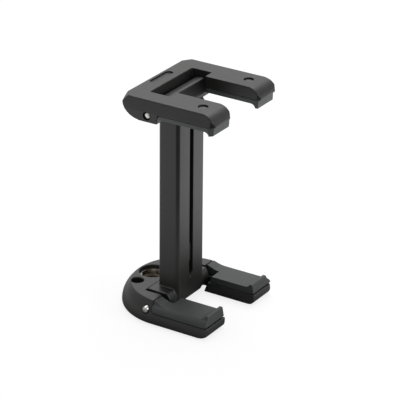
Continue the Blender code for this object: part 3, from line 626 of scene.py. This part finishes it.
for hand in hands:
    low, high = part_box("spring_" + hand)
    middle = (low + high) / 2
    x, y = middle.x / MM, (low.y + high.y) / 2 / MM
    bottom = low.z / MM + wire_radius + hook_radius
    top = high.z / MM - wire_radius - hook_radius
    turns = round((top - bottom - 2 * hook_length) / coil_pitch)
    coil_low = (bottom + top - turns * coil_pitch) / 2
    points = [(x, a, b) for a, b in arc((y, bottom), hook_radius, 150, 360, 20)]
    points += [(x, y + coil_radius, bottom + hook_radius), (x, y + coil_radius, coil_low - hook_radius)]
    for step in range(turns * coil_steps + 1):
        turn = 2 * math.pi * step / coil_steps
        spot = (x + coil_radius * math.sin(turn), y + coil_radius * math.cos(turn))
        points.append((*spot, coil_low + coil_pitch * step / coil_steps))
    coil_high = coil_low + turns * coil_pitch
    points += [(x, y + coil_radius, coil_high + hook_radius), (x, y + coil_radius, top - hook_radius)]
    points += [(x, a, b) for a, b in arc((y, top), hook_radius, 0, 210, 20)]
    path = bpy.data.curves.new("spring_path_" + hand, "CURVE")
    path.dimensions = "3D"
    path.bevel_depth = wire_radius
    path.bevel_resolution = 2
    path.use_fill_caps = True
    line = path.splines.new("POLY")
    line.points.add(len(points) - 1)
    for point, spot in zip(line.points, points):
        point.co = (*spot, 1.0)
    bent = add_object("extension_spring_" + hand, path)
    wound = shaped_mesh(bent)
    bpy.data.objects.remove(bent)
    spring = add_object("extension_spring_" + hand, wound)
    place(spring, "column", Matrix.Scale(MM, 4), spring_wire, "bright_steel", "spring_" + hand)
for node in ("spring_anchor", "anchor_pin"):
    coat(frame["nodes"][node], bright_steel)


# Slide, its key and its hanger pin
# The inner tube of the column, moulded in one with the neck and the head bar that carry the upper jaw. A
# small key pegged to its front rides in the slot, and a steel pin across it takes the springs' upper hooks.
at_upper_pin = Matrix.Translation(upper_pin) @ Matrix.Scale(MM, 4)
tube_half = 5.4
tube_front = -2.65
tube_back = 1.4
tube_wall = 0.8
tube_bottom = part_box("slide")[0].z / MM - upper_pin.z / MM
neck_drop = 3.4
head_half = 9.9
head_radius = 2.5
head_top = 2.7
head_flat_back = -0.5
head_flat_front = -1.65
head_face = -2.65
ledge_front = -3.2
ledge_top = -0.4
ledge_bottom = -1.6
ledge_chamfer = 0.4
ledge_lead = 0.3
neck_front_top = -2.2
neck_shoulder = 0.7
neck_back_top = -2.0
tube_overlap = 0.2

head = arc((0, 0), head_radius, -90, 90, 32)
head += [(head_flat_back, head_top), (head_flat_front, head_top), (head_face, ledge_top + ledge_lead)]
head += [(ledge_front, ledge_top), (ledge_front, ledge_bottom)]
head += [(ledge_front + ledge_chamfer, ledge_bottom - ledge_chamfer)]
neck = [(neck_front_top, 0), (ledge_front, ledge_top - 2 * ledge_lead), (ledge_front, ledge_bottom)]
neck += [(column_front, ledge_bottom - neck_shoulder), (column_front, -neck_drop)]
neck += [(column_back, -neck_drop), (column_back, neck_back_top), (0, 0)]
slide = new_piece("slide_with_head", prism(head, "X", -head_half, head_half))
carve(
    slide,
    "UNION",
    prism(neck, "X", -column_half, column_half),
    prism(box(-tube_half, tube_half, tube_front, tube_back), "Z", tube_bottom, tube_overlap - neck_drop),
)
core = box(tube_wall - tube_half, tube_half - tube_wall, tube_front + tube_wall, tube_back - tube_wall)
carve(
    slide,
    "DIFFERENCE",
    prism(core, "Z", tube_bottom - 5, -neck_drop - tube_wall),
    drill(pin_bore, "X", -past_side, past_side),
)
mould(slide, grid=0.17, rounds=4)

# The slide is drawn closer in grain than the ABS and a little blacker; the blacker tone is painted shade for the
# deep slot and the pocket, where the slide and its key show.
shade_darkened_plastic = moulded_plastic("moulded_plastic_with_painted_shade", "#1d1d1d", "#181818", 0.18, 0.015, 0.40, 0.50)
place(slide, "inner_slide", at_upper_pin, shade_darkened_plastic, "black_plastic", "slide")
# The key in the slot takes the same blacker tone, as painted shade.
coat(frame["nodes"]["stop_key"], shade_darkened_plastic)
coat(frame["nodes"]["spring_hanger"], bright_steel)


# Upper jaw
# One moulding of the same ABS: two arms with rounded noses, joined behind by a cross piece with a pocket for
# the head bar. Its top has a dimple in each arm, where a plug of the pad comes through, and a plain oval recess.
upper_half = 16.5
upper_top_half = 15.9
upper_top = 4.5
arm_bottom = 0.9
ear_bottom = 1.8
ear_front = -3.2
ear_slope = 0.35
ear_back = 1.5
arm_gap_half = 7.1
upper_pocket_half = 10.5
upper_pocket_front = -3.6
upper_pocket_back = 2.75
upper_back = 8.2
upper_back_top = 8.1
upper_back_widest = 3.5
rear_cut = (2.6, 1.8, 1.8)
upper_front = -21.0
nose = 4.0
inner_corner = 1.0
outer_corner = 1.4
plan_overrun = 0.3
dimples = [(side * 11.6, -14.8) for side in hands.values()]
dimple_radius = 1.45
dimple_depth = 0.5
plug_bore = 1.3
badge_middle = 6.0
badge_half = 3.7
badge_radius = 1.2
badge_depth = 0.4

flank = [
    (upper_front + nose * (1 - math.sin(turn)), upper_top - (upper_top - arm_bottom) * (1 - math.cos(turn)))
    for turn in sweep(90, 24)
]
flank += [(ear_front - ear_slope, arm_bottom), (ear_front, -ear_bottom), (ear_back, -ear_bottom)]
flank += [
    (
        ear_back + (upper_back - ear_back) * math.sin(turn),
        -ear_bottom + (upper_back_widest + ear_bottom) * (1 - math.cos(turn)),
    )
    for turn in sweep(90, 20)[1:]
]
flank += [(upper_back_top, upper_top)]
plan_front = upper_front - plan_overrun
plan = [(arm_gap_half, upper_pocket_front + plan_overrun), (arm_gap_half, plan_front + inner_corner)]
plan += [(arm_gap_half + inner_corner, plan_front), (upper_half - outer_corner, plan_front)]
plan += [(upper_half, plan_front + outer_corner), (upper_half, upper_back + plan_overrun)]
plan += [(-x, y) for x, y in reversed(plan)]
lean = (upper_half - upper_top_half) / (upper_top - arm_bottom)
across = [(upper_top_half + lean * (upper_top + 5), -5), (upper_top_half - lean * 5, upper_top + 5)]
across += [(-x, z) for x, z in reversed(across)]

upper_jaw = new_piece("upper_jaw_moulding", prism(flank, "X", -30, 30))
carve(upper_jaw, "INTERSECT", prism(plan, "Z", -20, 20), prism(across, "Y", -beyond, beyond))
badge = arc((badge_half, badge_middle), badge_radius, -90, 90, 16)
badge += arc((-badge_half, badge_middle), badge_radius, 90, 270, 16)


def corner_wedge(side):
    """A pyramid that slices the top corner off at the back."""
    over = 0.8
    corner = Vector((side * upper_top_half, upper_back_top, upper_top))
    cuts = (-side * rear_cut[0], -rear_cut[1], -rear_cut[2])
    tip = [-math.copysign(over, cut) for cut in cuts]
    mesh = bmesh.new()
    mesh.verts.new(corner + Vector(tip))
    for axis in range(3):
        spot = list(tip)
        spot[axis] = cuts[axis] * (1 + sum(over / abs(cuts[other]) for other in range(3) if other != axis))
        mesh.verts.new(corner + Vector(spot))
    bmesh.ops.convex_hull(mesh, input=mesh.verts[:])
    bmesh.ops.recalc_face_normals(mesh, faces=mesh.faces[:])
    return mesh


carve(
    upper_jaw,
    "DIFFERENCE",
    prism(box(-upper_pocket_half, upper_pocket_half, upper_pocket_front, upper_pocket_back), "Z", -10, 10),
    corner_wedge(-1),
    corner_wedge(1),
)
mould(upper_jaw, grid=0.17, rounds=5)
carve(
    upper_jaw,
    "DIFFERENCE",
    drill(pin_bore, "X", -30, 30),
    drill(counterbore_radius, "X", upper_half - counterbore_depth, 30),
    drill(counterbore_radius, "X", -30, counterbore_depth - upper_half),
    prism(badge, "Z", upper_top - badge_depth, 10),
    *(drill(plug_bore, "Z", -10, 10, spot) for spot in dimples),
    *(drill(dimple_radius, "Z", upper_top - dimple_depth, 10, spot) for spot in dimples),
)
place(upper_jaw, "top_jaw", at_upper_pin, satin_abs, "black_plastic", "upper_jaw")


# Upper pads
# Soft TPE, moulded through the arm: a flat pad with a lip in front, held by a plug whose top shows in the
# dimple.
pad_inner = 7.3
pad_outer = 16.3
pad_bed = -0.4
plug_radius = 1.27
plug_foot = 0.1
plug_drop = 0.45
upper_pad_setback = 0.5
upper_pad_gap = 0.06
upper_pad_slope = 0.1
upper_lip_setback = 0.15
upper_lip_share = 1.1
nose_corner = 1.1

# The upper pads are the same TPE drawn a lighter grey: painted light for the brighter light that falls on their
# fronts up high.
painted_light_rubber = moulded_plastic("painted_light_matt_rubber", "#595d5c", "#515554", 0.30, 0.015, 0.46, 0.56)

front = upper_front + upper_pad_setback
rear = ear_front - upper_pad_setback
top = arm_bottom - upper_pad_gap
profile = [(front, top), (rear - upper_pad_slope, top), (rear, pad_bed)]
profile += [(y, z * upper_lip_share) for y, z in lip(front + upper_lip_setback, pad_bed, -1)]
corner = [(pad_outer, front - nose_corner), (pad_outer + nose_corner, front)]
corner += [(pad_outer, front + nose_corner), (pad_outer - nose_corner, front)]

for (hand, side), spot in zip(hands.items(), dimples):
    pad = new_piece("upper_pad_moulding_" + hand, prism(profile, "X", side * pad_inner, side * pad_outer))
    carve(pad, "DIFFERENCE", prism([(side * x, y) for x, y in corner], "Z", -10, 10))
    carve(pad, "UNION", drill(plug_radius, "Z", plug_foot, upper_top - plug_drop, spot))
    mould(pad, grid=0.12, rounds=5)
    place(pad, "top_jaw", at_upper_pin, painted_light_rubber, "rubber_pad", "upper_pad_" + hand)


# Upper hinge pin and washers
# The same pin and washers as below, a little shorter, through the walls of the upper jaw and the head bar.
upper_hinge_pin = hinge_pin("upper_hinge_pin_turned", upper_half - pin_setback, 0)
place(upper_hinge_pin, "top_jaw", at_upper_pin, bright_steel, "bright_steel", "upper_hinge_pin")
for hand in hands:
    coat(frame["nodes"]["upper_washer_" + hand], black_steel)


# Studio
# A table that shows white to the camera, with a painted contact shadow and painted light in its glow, under a large
# soft lamp from above and a smaller one from the front, a bright wall for the glossy sides, and a camera at the
# photograph's angle, which sees the near flank and the open front.
camera_turn = math.radians(-57.776)
camera_rise = math.radians(24.757)
camera_roll = math.radians(0.517)
camera_distance = 680.65
camera_focus = 2415.4
picture_width = 400
sensor_width = 36
aim = Vector((10.743, 0, 26.69))
sheet_turn = math.radians(-26)
# Painted shade and light in the floor's glow: dark within these distances of the foot, brighter in front and far
# out.
foot_shade_m = (0.012, 0.075)
front_way = (0.8, -0.6, 0)
front_reach_m = 0.05
far_out_m = (0.11, 0.35)
far_gain = 1.8
wall_way = (0.70, 0.42, 0.58)
wall_edge = (0.6, 0.95)
wall_glow = (0.40, 0.95)
room_glow = 0.35
white = (1, 1, 1, 1)


def studio_floor(name, half_x, half_y, centre_y, height, code, seen_glow, back_glow, front_glow):
    """A flat sheet that glows white for the camera. To all else its glow is painted light and shade: dark near the
    object's foot, a painted contact shadow, and brighter far out, and it glows by one amount behind the object and
    by another in front of it."""
    mesh = bmesh.new()
    bmesh.ops.create_grid(mesh, x_segments=1, y_segments=1, size=1.0)
    bmesh.ops.scale(mesh, verts=mesh.verts[:], vec=(half_x, half_y, 1))
    bmesh.ops.translate(mesh, verts=mesh.verts[:], vec=(0, centre_y, height))
    bmesh.ops.rotate(mesh, verts=mesh.verts[:], cent=(0, 0, 0), matrix=Matrix.Rotation(sheet_turn, 3, "Z"))
    sheet = new_piece(name, mesh)
    paint, shader = new_material(name)
    spot = add_node(paint, "ShaderNodeTexCoord").outputs["Object"]
    away = add_node(paint, "ShaderNodeVectorMath", {"operation": "LENGTH"}, spot).outputs["Value"]
    forward = add_node(paint, "ShaderNodeVectorMath", {"operation": "DOT_PRODUCT"}, spot, front_way).outputs["Value"]
    glow = mapped(paint, away, foot_shade_m, (0, 1), "SMOOTHSTEP")
    for factor in (
        mapped(paint, forward, (-front_reach_m, front_reach_m), (back_glow, front_glow)),
        mapped(paint, away, far_out_m, (1, far_gain)),
    ):
        glow = add_node(paint, "ShaderNodeMath", {"operation": "MULTIPLY"}, glow, factor).outputs["Value"]
    seen = add_node(paint, "ShaderNodeLightPath").outputs["Is Camera Ray"]
    strength = add_node(paint, "ShaderNodeMix", {"data_type": "FLOAT"}, Factor=seen, A=glow, B=seen_glow)
    plug(
        paint,
        shader,
        Base_Color=linear(code),
        Roughness=1.0,
        Specular_IOR_Level=0.0,
        Emission_Color=white,
        Emission_Strength=strength.outputs["Result"],
    )
    coat(sheet, paint)
    sheet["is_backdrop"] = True


studio_floor("white_sheet", 0.9, 0.8, 0.745, 0, "#8c8c8c", 0.8, 0.58, 1.05)
studio_floor("dark_studio_floor", 4.0, 4.0, 0, -0.002, "#303030", 1.0, 0.0, 0.0)

world = bpy.data.worlds.new("studio")
world.use_nodes = True
bpy.context.scene.world = world
ray = add_node(world, "ShaderNodeLightPath")
way = add_node(world, "ShaderNodeTexCoord").outputs["Generated"]
facing = add_node(world, "ShaderNodeVectorMath", {"operation": "DOT_PRODUCT"}, way, wall_way).outputs["Value"]
wall = mapped(world, facing, wall_edge, wall_glow, "SMOOTHSTEP")
glossy = ray.outputs["Is Glossy Ray"]
lit = add_node(world, "ShaderNodeMix", {"data_type": "FLOAT"}, Factor=glossy, A=room_glow, B=wall).outputs["Result"]
level = add_node(world, "ShaderNodeMath", {"operation": "MAXIMUM"}, ray.outputs["Is Camera Ray"], lit)
plug(world, world.node_tree.nodes["Background"], Color=white, Strength=level.outputs["Value"])


def soft_lamp(name, place_m, target_m, size, power):
    light = bpy.data.lights.new(name, "AREA")
    light.shape = "SQUARE"
    light.size = size
    light.energy = power
    lamp = add_object(name, light)
    lamp.location = place_m
    lamp.rotation_euler = (Vector(target_m) - Vector(place_m)).to_track_quat("-Z", "Y").to_euler()


soft_lamp("top_softbox", (0.18, 0.08, 0.55), (0, 0, 0.03), 0.50, 1.9)
soft_lamp("front_softbox", (0.10, -0.64, 0.26), (0, 0, 0.03), 0.35, 1.25)

right = Vector((math.cos(camera_turn), math.sin(camera_turn), 0))
flat = math.cos(camera_rise)
back = Vector((math.sin(camera_turn) * flat, -math.cos(camera_turn) * flat, math.sin(camera_rise)))
up = back.cross(right)
eye = aim + back * camera_distance
turned_right = right * math.cos(camera_roll) + up * math.sin(camera_roll)
turned_up = up * math.cos(camera_roll) - right * math.sin(camera_roll)
camera = add_object("camera", bpy.data.cameras.new("camera"))
camera.data.sensor_width = sensor_width
camera.data.lens = sensor_width * camera_focus / picture_width
camera.data.clip_start = 0.01
camera.data.clip_end = 20
stance = Matrix((turned_right, turned_up, back)).transposed().to_4x4()
camera.matrix_world = Matrix.Translation(eye * MM + Vector((0, lower_pin.y, 0))) @ stance
bpy.context.scene.camera = camera
bpy.context.scene.view_settings.view_transform = "Standard"

low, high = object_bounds()
